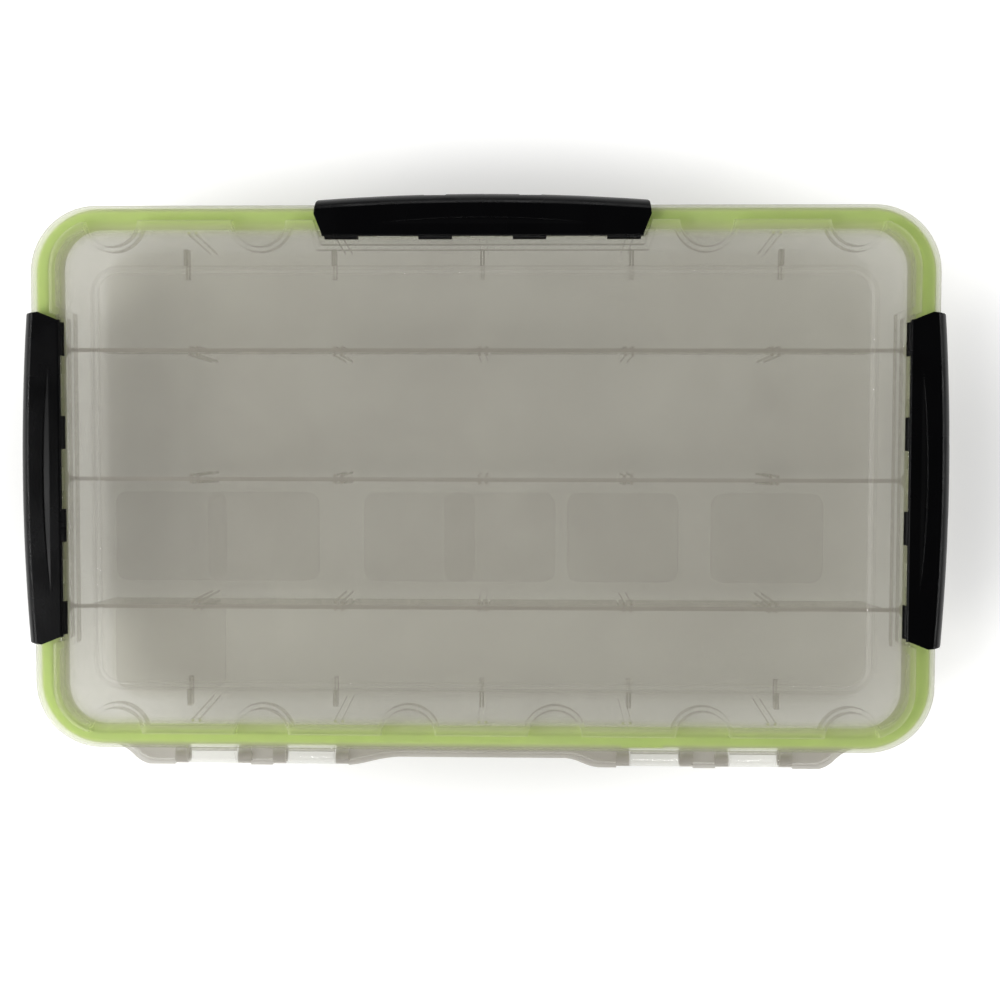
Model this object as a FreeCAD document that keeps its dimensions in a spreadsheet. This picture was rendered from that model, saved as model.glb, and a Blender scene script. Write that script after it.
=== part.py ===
"""Waterproof fishing tackle tray: a clear moulded tray and hinged lid, a lime seal, three clip-on latches and loose dividers.

X runs along the length, the front latch is on the -Y side, the hinge on the +Y side, and +Z is up from the underside.
"""

import FreeCAD, Part
import math
import os

import Sketcher
from FreeCAD import Placement, Rotation, Vector

# Driving dimensions in millimetres. A name that ends in level is a height above the underside.
SIZES = {
    # lid rim and skirt
    "lid_length": 356.0,
    "lid_width": 214.5,
    "lid_corner": 26.0,
    "rim_level": 46.0,
    "rim_thickness": 2.0,
    "skirt_wall": 1.8,
    "skirt_gap": 0.3,
    "shell_wall": 1.8,
    # raised border and sunk centre panel of the lid
    "border_end_inset": 8.0,
    "border_side_inset": 5.7,
    "border_corner": 19.0,
    "border_level": 50.6,
    "border_draft_run": 0.8,
    "panel_length": 303.0,
    "panel_width": 163.0,
    "panel_corner": 9.0,
    "panel_sink": 1.5,
    "panel_draft_run": 1.2,
    # thumb scallops in the border and rib pairs under it
    "scallop_pitch": 58.0,
    "scallop_radius": 10.8,
    "lid_rib_pitch": 58.0,
    "lid_rib_thickness": 0.6,
    "lid_rib_gap": 0.5,
    "lid_rib_start_inset": 17.4,
    "lid_rib_length": 11.4,
    # seal and its channel
    "gasket_inset": 3.7,
    "gasket_width": 2.8,
    "gasket_height": 2.2,
    "gasket_play": 0.2,
    "gasket_tab_place": 63.8,
    "gasket_tab_length": 16.4,
    "gasket_tab_inset": 1.0,
    "channel_wall": 1.3,
    "channel_drop": 1.9,
    "bead_width": 1.4,
    # tray
    "tray_level": 41.0,
    "tray_length": 332.6,
    "tray_width": 197.4,
    "tray_corner": 16.0,
    "tray_wall": 1.8,
    "tray_floor": 2.0,
    "tray_draft_run": 3.1,
    "tray_foot_round": 2.0,
    "flange_thickness": 2.0,
    "flange_gap": 0.4,
    "flange_lip_wall": 1.8,
    "flange_lip_drop": 2.5,
    "partition_pitch": 51.2,
    "partition_thickness": 1.6,
    "partition_corner": 3.0,
    # divider slots and loose dividers
    "slot_pitch": 58.0,
    "slot_gap": 1.8,
    "slot_rib_thickness": 1.1,
    "slot_rib_height": 1.1,
    "slot_rib_top_gap": 3.0,
    "divider_length": 47.6,
    "divider_height": 38.2,
    "divider_thickness": 1.2,
    "divider_corner": 5.0,
    "loose_gap": 0.2,
    # latches
    "latch_length": 130.7,
    "latch_inner_length": 124.7,
    "latch_shoulder_inset": 4.3,
    "latch_end_taper": 0.45,
    "latch_end_corner": 2.2,
    "latch_top_level": 51.0,
    "latch_bulge_level": 44.3,
    "latch_waist_level": 28.4,
    "latch_bottom_level": 19.0,
    "latch_wall": 1.6,
    "latch_bulge": 4.5,
    "latch_waist_inset": 0.9,
    "latch_foot_inset": 0.2,
    "latch_leg_bow": 0.25,
    "latch_bow_radius": 900.0,
    "latch_inner_edge_inset": 12.65,
    "latch_edge_round": 0.8,
    "latch_web": 1.6,
    "latch_end_web": 2.0,
    "latch_end_undercut": 0.1,
    "latch_web_pitch": 36.6,
    "latch_web_top_level": 45.3,
    "latch_web_step_level": 35.3,
    "latch_web_bottom_level": 21.1,
    "latch_grip_place": 18.6,
    "latch_grip_length": 10.0,
    "latch_grip_depth": 0.9,
    "latch_crescent_length": 88.0,
    "latch_crescent_inset": 8.1,
    "latch_crescent_width": 2.6,
    "latch_crescent_tilt_degrees": 12.0,
    "latch_play": 0.35,
    "pivot_inset": 11.6,
    "pivot_level": 48.3,
    "pivot_radius": 1.1,
    "pivot_play": 0.2,
    "visor_gap": 0.25,
    "knuckle_wall": 0.8,
    "knuckle_length": 13.0,
    "knuckle_pitch": 36.6,
    "knuckle_mouth": 1.8,
    "pocket_wall_inset": 15.75,
    "pocket_length": 125.8,
    "pocket_mouth_length": 132.6,
    "pivot_post_length": 9.0,
    "catch_place": 44.0,
    "catch_length": 22.0,
    "catch_drop": 6.3,
    "catch_slope_rise": 1.3,
    "hook_length": 20.0,
    "hook_reach": 1.4,
    "hook_gap": 0.35,
    "hook_height": 4.2,
    # rear hinge
    "hinge_offset": 4.65,
    "hinge_level": 38.6,
    "hinge_barrel_radius": 3.2,
    "hinge_pin_radius": 1.6,
    "hinge_pin_play": 0.2,
    "hinge_mouth": 2.7,
    "hinge_station_pitch": 39.5,
    "hinge_station_start": 69.0,
    "hinge_station_length": 30.6,
    "hinge_barrel_length": 19.6,
    "hinge_side_gap": 0.3,
    "wing_outer_end": 147.5,
    "wing_inner_end": 33.5,
    "wing_end_sweep": 13.0,
    "wing_long_sweep": 22.0,
    "wing_thickness": 2.0,
    "wing_level": 38.6,
    "wing_lip_wall": 1.8,
    "wing_reach": 7.85,
    "wing_strip_reach": 4.2,
    # one overrun for every cut
    "overrun": 1.0,
}

ARC_MIDDLE_SHARE = 1 - math.sqrt(0.5)
# Where the edges of a clip's mouth meet its bore and its outside, as shares of half the mouth's width.
CLIP_MOUTH_SHARES = (
    math.sqrt((SIZES["hinge_pin_radius"] + SIZES["hinge_pin_play"]) ** 2 - (SIZES["hinge_mouth"] / 2) ** 2)
    / (SIZES["hinge_mouth"] / 2),
    math.sqrt(SIZES["hinge_barrel_radius"] ** 2 - (SIZES["hinge_mouth"] / 2) ** 2) / (SIZES["hinge_mouth"] / 2),
)
# How far inside the latch's bulge a hook's root lies, at its top and foot, as shares of the bulge.
HOOK_ROOT_SHARES = (0.556, 0.633)
# A point on the latch's rounded shoulder, outward and upward, as shares of the shoulder's radius.
SHOULDER_SHARES = (0.819, 0.574)
LATCH_TURNS = {"latch_front": 0.0, "latch_right": 90.0, "latch_left": -90.0}

doc = FreeCAD.newDocument("tackle_tray")
sheet = doc.addObject("Spreadsheet::Sheet", "sizes")


class Size:
    """A length that keeps its value and the expression that works it out from the sheet."""

    def __init__(self, value, text):
        self.value = value
        self.text = text

    def __add__(self, other):
        other = as_size(other)
        return Size(self.value + other.value, f"({self.text} + {other.text})")

    def __sub__(self, other):
        other = as_size(other)
        return Size(self.value - other.value, f"({self.text} - {other.text})")

    def __mul__(self, other):
        other = as_size(other)
        return Size(self.value * other.value, f"({self.text} * {other.text})")

    def __truediv__(self, other):
        other = as_size(other)
        return Size(self.value / other.value, f"({self.text} / {other.text})")

    def __neg__(self):
        return Size(-self.value, f"(0 - {self.text})")

    __radd__ = __add__
    __rmul__ = __mul__

    def __rsub__(self, other):
        return as_size(other) - self


def as_size(value):
    return value if isinstance(value, Size) else Size(float(value), repr(float(value)))


class Sizes:
    """Looks a driving dimension up by its name."""

    def __getattr__(self, name):
        return Size(SIZES[name], f"sizes.{name}")


s = Sizes()


def fill_sheet():
    for row, (name, value) in enumerate(SIZES.items(), start=1):
        sheet.set(f"A{row}", name)
        sheet.set(f"B{row}", str(value))
        sheet.setAlias(f"B{row}", name)
    doc.recompute()


# Sketches


def origin_feature(body, role):
    return next(feature for feature in body.Origin.OriginFeatures if feature.Role == role)


def new_sketch(body, name, role, offset=0):
    plane = origin_feature(body, role)
    sketch = body.newObject("Sketcher::SketchObject", name)
    sketch.AttachmentSupport = [(plane, "")]
    sketch.MapMode = "FlatFace"
    place = as_size(offset)
    sketch.AttachmentOffset = Placement(Vector(0, 0, place.value), Rotation())
    sketch.setExpression("AttachmentOffset.Base.z", place.text)
    return sketch


def bind_point(sketch, constraints, texts, geometry, point, x, y):
    """Adds the constraints that hold one sketch point at the sizes x and y."""
    for kind, axis, place in (("DistanceX", -2, as_size(x)), ("DistanceY", -1, as_size(y))):
        if place.value == 0:
            constraints.append(Sketcher.Constraint("PointOnObject", geometry, point, axis))
        else:
            constraints.append(Sketcher.Constraint(kind, -1, 1, geometry, point, place.value))
            texts.append((len(constraints) - 1, place.text))


def outline(sketch, corners):
    """Draws one closed outline. A corner is (x, y), and ("via", x, y) makes an arc through that point."""
    points = []
    vias = {}
    for corner in corners:
        if corner[0] == "via":
            vias[len(points) - 1] = (as_size(corner[1]), as_size(corner[2]))
        else:
            points.append(corner)
    spots = [(as_size(x), as_size(y)) for x, y in points]
    edges = []
    for i, (x, y) in enumerate(spots):
        after_x, after_y = spots[(i + 1) % len(spots)]
        start = Vector(x.value, y.value, 0)
        end = Vector(after_x.value, after_y.value, 0)
        if i in vias:
            middle = Vector(vias[i][0].value, vias[i][1].value, 0)
            edges.append(Part.Arc(start, middle, end))
        else:
            edges.append(Part.LineSegment(start, end))
    first = sketch.GeometryCount
    sketch.addGeometry(edges, False)
    constraints = []
    texts = []
    ends = []
    for i, (x, y) in enumerate(spots):
        start = Vector(x.value, y.value, 0)
        near = sketch.getPoint(first + i, 1).distanceToPoint(start)
        far = sketch.getPoint(first + i, 2).distanceToPoint(start)
        ends.append((1, 2) if near < far else (2, 1))
    for i, (x, y) in enumerate(spots):
        before = (i - 1) % len(spots)
        constraints.append(
            Sketcher.Constraint("Coincident", first + before, ends[before][1], first + i, ends[i][0])
        )
        bind_point(sketch, constraints, texts, first + i, ends[i][0], x, y)
    for i, (x, y) in vias.items():
        mark = sketch.addGeometry(Part.Point(Vector(x.value, y.value, 0)), True)
        constraints.append(Sketcher.Constraint("PointOnObject", mark, 1, first + i))
        bind_point(sketch, constraints, texts, mark, 1, x, y)
    add_bound(sketch, constraints, texts)


def add_bound(sketch, constraints, texts):
    first = sketch.ConstraintCount
    sketch.addConstraint(constraints)
    for index, text in texts:
        sketch.setExpression(f"Constraints[{first + index}]", text)


def circle(sketch, x, y, radius):
    ring = sketch.addGeometry(
        Part.Circle(Vector(as_size(x).value, as_size(y).value, 0), Vector(0, 0, 1), radius.value), False
    )
    constraints = [Sketcher.Constraint("Radius", ring, radius.value)]
    texts = [(0, radius.text)]
    bind_point(sketch, constraints, texts, ring, 3, x, y)
    add_bound(sketch, constraints, texts)


def rectangle(sketch, x0, x1, y0, y1):
    outline(sketch, [(x0, y0), (x1, y0), (x1, y1), (x0, y1)])


def rounded(sketch, x0, x1, y0, y1, radii):
    """A rectangle with one corner radius each, from the low corner round."""
    low_low, high_low, high_high, low_high = radii
    share = ARC_MIDDLE_SHARE
    outline(
        sketch,
        [
            (x0, y0 + low_low),
            ("via", x0 + low_low * share, y0 + low_low * share),
            (x0 + low_low, y0),
            (x1 - high_low, y0),
            ("via", x1 - high_low * share, y0 + high_low * share),
            (x1, y0 + high_low),
            (x1, y1 - high_high),
            ("via", x1 - high_high * share, y1 - high_high * share),
            (x1 - high_high, y1),
            (x0 + low_high, y1),
            ("via", x0 + low_high * share, y1 - low_high * share),
            (x0, y1 - low_high),
        ],
    )


def centred(sketch, length, width, radius):
    rounded(sketch, -length / 2, length / 2, -width / 2, width / 2, [radius] * 4)


def rim_outline(sketch, inset):
    """The lid's outline moved in by an inset."""
    centred(sketch, s.lid_length - 2 * inset, s.lid_width - 2 * inset, s.lid_corner - inset)


# Features


def finish_feature(body, feature, adds):
    """Recomputes and makes sure that the feature added or removed material."""
    before = body.Tip.Shape.Volume if body.Tip and body.Tip is not feature else 0
    if feature.BaseFeature is not None:
        before = feature.BaseFeature.Shape.Volume
    body.Tip = feature
    doc.recompute()
    change = feature.Shape.Volume - before
    if (change > 0) != adds or change == 0:
        raise RuntimeError(f"{body.Label}.{feature.Name} changed the volume by {change:.3f}")


def extrude(kind, body, name, sketch, length, symmetric, reverse):
    feature = body.newObject(f"PartDesign::{kind}", name)
    feature.Profile = sketch
    feature.Length = as_size(length).value
    feature.setExpression("Length", as_size(length).text)
    if symmetric:
        feature.SideType = "Symmetric"
    feature.Reversed = reverse
    finish_feature(body, feature, kind == "Pad")
    return feature


def pad(body, name, sketch, length, symmetric=False, reverse=False):
    return extrude("Pad", body, name, sketch, length, symmetric, reverse)


def pocket(body, name, sketch, length, symmetric=False, reverse=False):
    return extrude("Pocket", body, name, sketch, length, symmetric, reverse)


def loft(kind, body, name, first, last):
    feature = body.newObject(f"PartDesign::{kind}", name)
    feature.Profile = first
    feature.Sections = [last]
    feature.Ruled = True
    finish_feature(body, feature, kind == "AdditiveLoft")
    return feature


def fillet_edges(body, name, radius, chosen):
    """Rounds the edges of the tip that the chosen test picks."""
    base = body.Tip
    names = [f"Edge{i}" for i, edge in enumerate(base.Shape.Edges, start=1) if chosen(edge)]
    feature = body.newObject("PartDesign::Fillet", name)
    feature.Base = (base, names)
    feature.Radius = radius.value
    feature.setExpression("Radius", radius.text)
    body.Tip = feature
    doc.recompute()
    return feature


def flat_at(edge, level):
    """Whether an edge lies in the level plane."""
    box = edge.BoundBox
    return abs(box.ZMin - level) < Part.Precision.confusion() * 100 and box.ZLength < 1e-4


def new_body(label):
    body = doc.addObject("PartDesign::Body", label)
    body.Label = label
    return body


# Places that several pieces share

lid_edge_x = s.lid_length / 2
lid_edge_y = s.lid_width / 2
rim_under = s.rim_level - s.rim_thickness
gasket_bottom = rim_under - s.gasket_height
bead_top = gasket_bottom - s.gasket_play
border_end = lid_edge_x - s.border_end_inset
border_side = lid_edge_y - s.border_side_inset
hinge_y = lid_edge_y + s.hinge_offset
flange_under = s.tray_level - s.flange_thickness
floor_length = s.tray_length - 2 * s.tray_draft_run
floor_width = s.tray_width - 2 * s.tray_draft_run
floor_corner = s.tray_corner - s.tray_draft_run
cavity_depth = s.tray_level - s.tray_floor
hinge_stations = [
    side * (s.hinge_station_start + s.hinge_station_pitch * step) for side in (-1, 1) for step in (0, 1)
]
slot_steps = (-2, -1, 0, 1, 2)


# Tray


def wing_outline(sketch, inset, root_overlap):
    """The plan of both hinge wings and the strip between them, moved in by an inset."""
    wing_y = lid_edge_y + s.wing_reach - inset
    strip_y = lid_edge_y + s.wing_strip_reach - inset
    root_y = lid_edge_y - s.flange_gap
    outer = s.wing_outer_end - inset
    middle = (wing_y + root_y) / 2
    step = (wing_y - strip_y) / 2
    near = s.wing_inner_end + inset
    short = s.wing_end_sweep
    long = s.wing_long_sweep
    bow = s.wing_lip_wall / 3
    inner = []
    if root_overlap.value:
        inner = [(outer, root_y - root_overlap), (-outer, root_y - root_overlap)]
    outline(
        sketch,
        inner
        + [
            (-outer, root_y),
            ("via", -outer + short / 4 + bow / 3, (root_y + middle) / 2 - bow / 2),
            (-outer + short / 2, middle),
            ("via", -outer + short * 3 / 4 - bow / 3, (wing_y + middle) / 2 + bow),
            (-outer + short, wing_y),
            (-near - short, wing_y),
            ("via", -near - short * 3 / 4, wing_y - step / 2 + bow / 2),
            (-near - short / 2, strip_y + step),
            ("via", -near - short / 4, strip_y + step / 2 - bow / 2),
            (-near, strip_y),
            (near, strip_y),
            ("via", near + long / 4, strip_y + step / 2 - bow / 2),
            (near + long / 2, strip_y + step),
            ("via", near + long * 3 / 4, wing_y - step / 2 + bow / 2),
            (near + long, wing_y),
            (outer - short, wing_y),
            ("via", outer - short * 3 / 4 + bow / 3, (wing_y + middle) / 2 + bow),
            (outer - short / 2, middle),
            ("via", outer - short / 4 - bow / 3, (root_y + middle) / 2 - bow / 2),
            (outer, root_y),
        ],
    )


def add_hinge_wings(body):
    """The rear wings with their raised lip, and the snap-in clips that hold the lid's pins."""
    root = lid_edge_y - s.flange_gap
    radius = s.hinge_barrel_radius
    plate = new_sketch(body, "wing_plan", "XY_Plane", s.wing_level - s.wing_thickness)
    wing_outline(plate, as_size(0), s.flange_lip_wall / 2)
    pad(body, "wings", plate, s.tray_level - s.wing_level + s.wing_thickness)
    gutter = new_sketch(body, "wing_gutter_plan", "XY_Plane", s.tray_level)
    wing_outline(gutter, s.wing_lip_wall, as_size(0))
    pocket(body, "wing_gutter", gutter, s.tray_level - s.wing_level)
    openings = new_sketch(body, "wing_opening_plan", "XY_Plane", s.tray_level)
    half = s.hinge_station_length / 2
    for station in hinge_stations:
        rectangle(openings, station - half, station + half, root + s.hinge_side_gap, root + 2 * s.wing_reach)
    pocket(body, "wing_openings", openings, s.tray_level - s.wing_level + s.wing_thickness + s.overrun)
    bore = s.hinge_pin_radius + s.hinge_pin_play
    mouth = s.hinge_mouth / 2
    for i, station in enumerate(hinge_stations):
        clip = new_sketch(body, f"clip_profile_{i}", "YZ_Plane", station)
        slant = 1 - ARC_MIDDLE_SHARE
        bore_edge = hinge_y + s.hinge_mouth / 2 * CLIP_MOUTH_SHARES[0]
        outer_edge = hinge_y + s.hinge_mouth / 2 * CLIP_MOUTH_SHARES[1]
        outline(
            clip,
            [
                (root - s.flange_lip_wall / 2, s.wing_level - s.wing_thickness),
                (hinge_y - radius * slant, s.hinge_level - radius * slant),
                ("via", hinge_y, s.hinge_level - radius),
                (outer_edge, s.hinge_level - mouth),
                (bore_edge, s.hinge_level - mouth),
                ("via", hinge_y - bore, s.hinge_level),
                (bore_edge, s.hinge_level + mouth),
                (outer_edge, s.hinge_level + mouth),
                ("via", hinge_y, s.hinge_level + radius),
                (hinge_y - radius * slant, s.hinge_level + radius * slant),
                (root + s.hinge_side_gap, s.wing_level),
                (root - s.flange_lip_wall / 2, s.wing_level),
            ],
        )
        pad(body, f"clip_{i}", clip, s.hinge_station_length, symmetric=True)
    gaps = new_sketch(body, "barrel_gap_plan", "XY_Plane", s.hinge_level + 2 * radius)
    half = s.hinge_barrel_length / 2 + s.hinge_side_gap
    for station in hinge_stations:
        rectangle(gaps, station - half, station + half, root + s.hinge_side_gap, root + 2 * s.wing_reach)
    pocket(body, "barrel_gaps", gaps, 4 * radius)


def add_rows(body):
    """Sinks four long rows, which leaves three partitions and the outer walls."""
    half_length = s.tray_length / 2
    half_width = s.tray_width / 2
    half_web = s.partition_thickness / 2
    lines = [-half_width] + [s.partition_pitch * step for step in (-1, 0, 1)] + [half_width]
    small = s.partition_corner
    run = s.tray_draft_run
    web_run = run / 6
    for row in range(4):
        low_wall = row == 0
        high_wall = row == 3
        low = lines[row] if low_wall else lines[row] + half_web
        high = lines[row + 1] if high_wall else lines[row + 1] - half_web
        low_radius = s.tray_corner if low_wall else small
        high_radius = s.tray_corner if high_wall else small
        top = new_sketch(body, f"row_top_{row}", "XY_Plane", s.tray_level)
        radii = [low_radius, low_radius, high_radius, high_radius]
        rounded(top, -half_length, half_length, low, high, radii)
        bottom = new_sketch(body, f"row_floor_{row}", "XY_Plane", s.tray_floor)
        low_run = run if low_wall else web_run
        high_run = run if high_wall else web_run
        low_floor_radius = low_radius - run if low_wall else small
        high_floor_radius = high_radius - run if high_wall else small
        radii = [low_floor_radius, low_floor_radius, high_floor_radius, high_floor_radius]
        rounded(bottom, -half_length + run, half_length - run, low + low_run, high - high_run, radii)
        loft("SubtractiveLoft", body, f"row_{row}", top, bottom)


def add_slots(body):
    """Pairs of low ribs on every wall and partition hold the cross dividers."""
    top = s.tray_level - s.slot_rib_top_gap
    top_share = (top - s.tray_floor) / cavity_depth
    run = s.tray_draft_run
    web_run = run / 6
    height = s.slot_rib_height
    root = s.partition_thickness / 4
    faces = []
    half_width = s.tray_width / 2
    half_web = s.partition_thickness / 2
    faces.append((-half_width + run, -half_width + run * (1 - top_share), 1))
    faces.append((half_width - run, half_width - run * (1 - top_share), -1))
    for step in (-1, 0, 1):
        line = s.partition_pitch * step
        faces.append((line + half_web + web_run, line + half_web + web_run * (1 - top_share), 1))
        faces.append((line - half_web - web_run, line - half_web - web_run * (1 - top_share), -1))
    slab = s.slot_gap / 2 + s.slot_rib_thickness / 2
    foot = s.tray_floor - root
    start = s.slot_pitch * slot_steps[0]
    ribs = []
    for side, name in ((-1, "low"), (1, "high")):
        sketch = new_sketch(body, f"slot_rib_profile_{name}", "YZ_Plane", start + slab * side)
        for low_face, high_face, turn in faces:
            outline(
                sketch,
                [
                    (low_face - root * turn, foot),
                    (low_face + height * turn, foot),
                    (high_face + height * turn, top),
                    (high_face - root * turn, top),
                ],
            )
        ribs.append(pad(body, f"slot_ribs_{name}", sketch, s.slot_rib_thickness, symmetric=True))
    row = body.newObject("PartDesign::LinearPattern", "slot_rib_row")
    row.Originals = ribs
    row.Direction = (origin_feature(body, "X_Axis"), [""])
    row.Occurrences = len(slot_steps)
    length = s.slot_pitch * (len(slot_steps) - 1)
    row.Length = length.value
    row.setExpression("Length", length.text)
    finish_feature(body, row, True)


def add_catches(body):
    """Tongues under the flange edge, with a sloped end that each latch hook bears on."""
    foot = flange_under - s.catch_drop
    lip_foot = flange_under - s.flange_lip_drop
    reach = s.catch_place + s.catch_length / 2
    between = s.catch_place - s.catch_length / 2
    top = flange_under + s.flange_thickness / 2
    for name, edge, role, sides in (("front", lid_edge_y, "YZ_Plane", (-1,)), ("end", lid_edge_x, "XZ_Plane", (-1, 1))):
        outer = edge - s.flange_gap
        inner = outer - s.flange_lip_wall
        sketch = new_sketch(body, f"{name}_catch_profile", role)
        for side in sides:
            outline(
                sketch,
                [
                    (outer * side, top),
                    (outer * side, foot),
                    (inner * side, foot - s.catch_slope_rise),
                    (inner * side, top),
                ],
            )
        pad(body, f"{name}_catches", sketch, 2 * reach, symmetric=True)
    plan = new_sketch(body, "catch_gap_plan", "XY_Plane", lip_foot)
    wide = s.flange_gap + s.flange_lip_wall + s.overrun
    rectangle(plan, -between, between, -lid_edge_y, wide - lid_edge_y)
    rectangle(plan, -lid_edge_x, wide - lid_edge_x, -between, between)
    rectangle(plan, lid_edge_x - wide, lid_edge_x, -between, between)
    pocket(body, "catch_gaps", plan, s.catch_drop + s.catch_slope_rise + s.overrun)


def build_tray():
    body = new_body("tray")
    wall = s.tray_wall
    level_share = flange_under / s.tray_level
    foot_run = s.tray_draft_run * s.tray_level / cavity_depth
    top_run = foot_run * (1 - level_share)
    foot = new_sketch(body, "shell_foot", "XY_Plane")
    centred(
        foot,
        s.tray_length + 2 * wall - 2 * foot_run,
        s.tray_width + 2 * wall - 2 * foot_run,
        s.tray_corner + wall - foot_run,
    )
    top = new_sketch(body, "shell_top", "XY_Plane", flange_under)
    centred(
        top,
        s.tray_length + 2 * wall - 2 * top_run,
        s.tray_width + 2 * wall - 2 * top_run,
        s.tray_corner + wall - top_run,
    )
    loft("AdditiveLoft", body, "shell", foot, top)
    fillet_edges(body, "foot_round", s.tray_foot_round, lambda edge: flat_at(edge, 0))
    flange = new_sketch(body, "flange_plan", "XY_Plane", flange_under)
    rim_outline(flange, s.flange_gap)
    pad(body, "flange", flange, s.flange_thickness)
    lip = new_sketch(body, "flange_lip_plan", "XY_Plane", flange_under)
    rim_outline(lip, s.flange_gap)
    rim_outline(lip, s.flange_gap + s.flange_lip_wall)
    pad(body, "flange_lip", lip, s.flange_lip_drop, reverse=True)
    add_catches(body)
    add_hinge_wings(body)
    bead = new_sketch(body, "bead_plan", "XY_Plane", s.tray_level)
    rim_outline(bead, s.gasket_inset - s.bead_width / 2)
    rim_outline(bead, s.gasket_inset + s.bead_width / 2)
    pad(body, "bead", bead, bead_top - s.tray_level)
    add_rows(body)
    add_slots(body)
    return body


# Lid


def pocket_outline(sketch, side, wall, mouth_inset):
    """The plan of one latch pocket, grown by a wall and open at the mouth."""
    edge = latch_edge(side)
    back = edge - s.pocket_wall_inset - wall
    mouth = edge - mouth_inset
    half_mouth = s.pocket_mouth_length / 2 + wall
    half_back = s.pocket_length / 2 + wall
    plan = [(-half_mouth, -mouth), (half_mouth, -mouth), (half_back, -back), (-half_back, -back)]
    if side == "right":
        plan = [(-y, x) for x, y in plan]
    elif side == "left":
        plan = [(y, x) for x, y in plan]
    outline(sketch, plan)


LATCH_SIDES = {"front": "y", "right": "x", "left": "x"}


def latch_edge(side):
    return lid_edge_y if LATCH_SIDES[side] == "y" else lid_edge_x


def half_disc(sketch, x, y, radius, side, run):
    """A half disc whose round side faces the lid's middle, drawn out straight by a run on the other side."""
    outline(
        sketch,
        [
            (x - radius, y),
            ("via", x, y - radius * side),
            (x + radius, y),
            (x + radius, y + run * side),
            (x - radius, y + run * side),
        ],
    )


def scallop_places():
    """Half-round thumb scallops: six along the rear and four along the front, clear of the front latch."""
    places = []
    for step in (0.5, 1.5, 2.5):
        for side in (-1, 1):
            places.append((s.scallop_pitch * step * side, border_side, 1))
            if step > 1:
                places.append((s.scallop_pitch * step * side, -border_side, -1))
    return places


def add_border(body):
    """The raised border, its hollow underside, the latch pockets, the scallops and the sunk panel."""
    foot = new_sketch(body, "border_foot", "XY_Plane", s.rim_level - s.rim_thickness / 2)
    centred(foot, 2 * border_end, 2 * border_side, s.border_corner)
    top = new_sketch(body, "border_top", "XY_Plane", s.border_level)
    run = s.border_draft_run
    centred(top, 2 * (border_end - run), 2 * (border_side - run), s.border_corner - run)
    loft("AdditiveLoft", body, "border", foot, top)
    wall = s.shell_wall + run
    panel_top = s.border_level - s.panel_sink
    panel_under = panel_top - s.shell_wall
    border_under = s.border_level - s.shell_wall
    sunk_run = s.panel_draft_run
    # The lid's inside, first up to the panel and then on up inside the border.
    inside = new_sketch(body, "inside_plan", "XY_Plane", rim_under)
    centred(inside, 2 * (border_end - wall), 2 * (border_side - wall), s.border_corner - wall)
    pocket(body, "inside", inside, panel_under - rim_under, reverse=True)
    hollow = new_sketch(body, "border_hollow_plan", "XY_Plane", panel_under)
    centred(hollow, 2 * (border_end - wall), 2 * (border_side - wall), s.border_corner - wall)
    island = s.shell_wall
    centred(hollow, s.panel_length + 2 * island, s.panel_width + 2 * island, s.panel_corner + island)
    pocket(body, "border_hollow", hollow, border_under - panel_under, reverse=True)
    sunk_top = new_sketch(body, "panel_top_plan", "XY_Plane", s.border_level)
    centred(sunk_top, s.panel_length, s.panel_width, s.panel_corner)
    sunk_floor = new_sketch(body, "panel_floor_plan", "XY_Plane", panel_top)
    centred(sunk_floor, s.panel_length - 2 * sunk_run, s.panel_width - 2 * sunk_run, s.panel_corner - sunk_run)
    loft("SubtractiveLoft", body, "panel", sunk_top, sunk_floor)
    # Tubs for the latches and scallops are filled in first, then sunk to the rim's level.
    tubs = new_sketch(body, "pocket_tub_plan", "XY_Plane", rim_under)
    for side, axis in LATCH_SIDES.items():
        wall_inset = s.border_end_inset if axis == "x" else s.border_side_inset
        pocket_outline(tubs, side, s.shell_wall, wall_inset + run + s.shell_wall / 2)
    pad(body, "pocket_tubs", tubs, s.border_level - rim_under)
    tubs = new_sketch(body, "scallop_tub_plan", "XY_Plane", rim_under)
    for x, y, side in scallop_places():
        reach = s.scallop_radius + s.shell_wall
        outline(
            tubs,
            [
                (x - reach, y - (run + s.shell_wall / 2) * side),
                ("via", x, y - reach * side),
                (x + reach, y - (run + s.shell_wall / 2) * side),
            ],
        )
    pad(body, "scallop_tubs", tubs, s.border_level - rim_under)
    pockets = new_sketch(body, "pocket_plan", "XY_Plane", s.border_level)
    for side in LATCH_SIDES:
        pocket_outline(pockets, side, as_size(0), s.border_side_inset - s.overrun)
    pocket(body, "pockets", pockets, s.border_level - s.rim_level)
    scallops = new_sketch(body, "scallop_plan", "XY_Plane", s.border_level)
    for x, y, side in scallop_places():
        half_disc(scallops, x, y, s.scallop_radius, side, s.overrun)
    pocket(body, "scallops", scallops, s.border_level - s.rim_level)


def add_lid_ribs(body):
    """Short rib pairs under the border, over the divider stations."""
    offset = (s.lid_rib_gap + s.lid_rib_thickness) / 2
    start = lid_edge_y - s.lid_rib_start_inset
    end = start - s.lid_rib_length
    sketch = new_sketch(body, "lid_rib_plan", "XY_Plane", rim_under)
    for step in slot_steps:
        for pair in (-1, 1):
            middle = s.lid_rib_pitch * step + offset * pair
            low = middle - s.lid_rib_thickness / 2
            high = middle + s.lid_rib_thickness / 2
            rectangle(sketch, low, high, end, start)
            rectangle(sketch, low, high, -start, -end)
    pad(body, "lid_ribs", sketch, s.border_level - s.panel_sink - s.shell_wall / 2 - rim_under)


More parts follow.
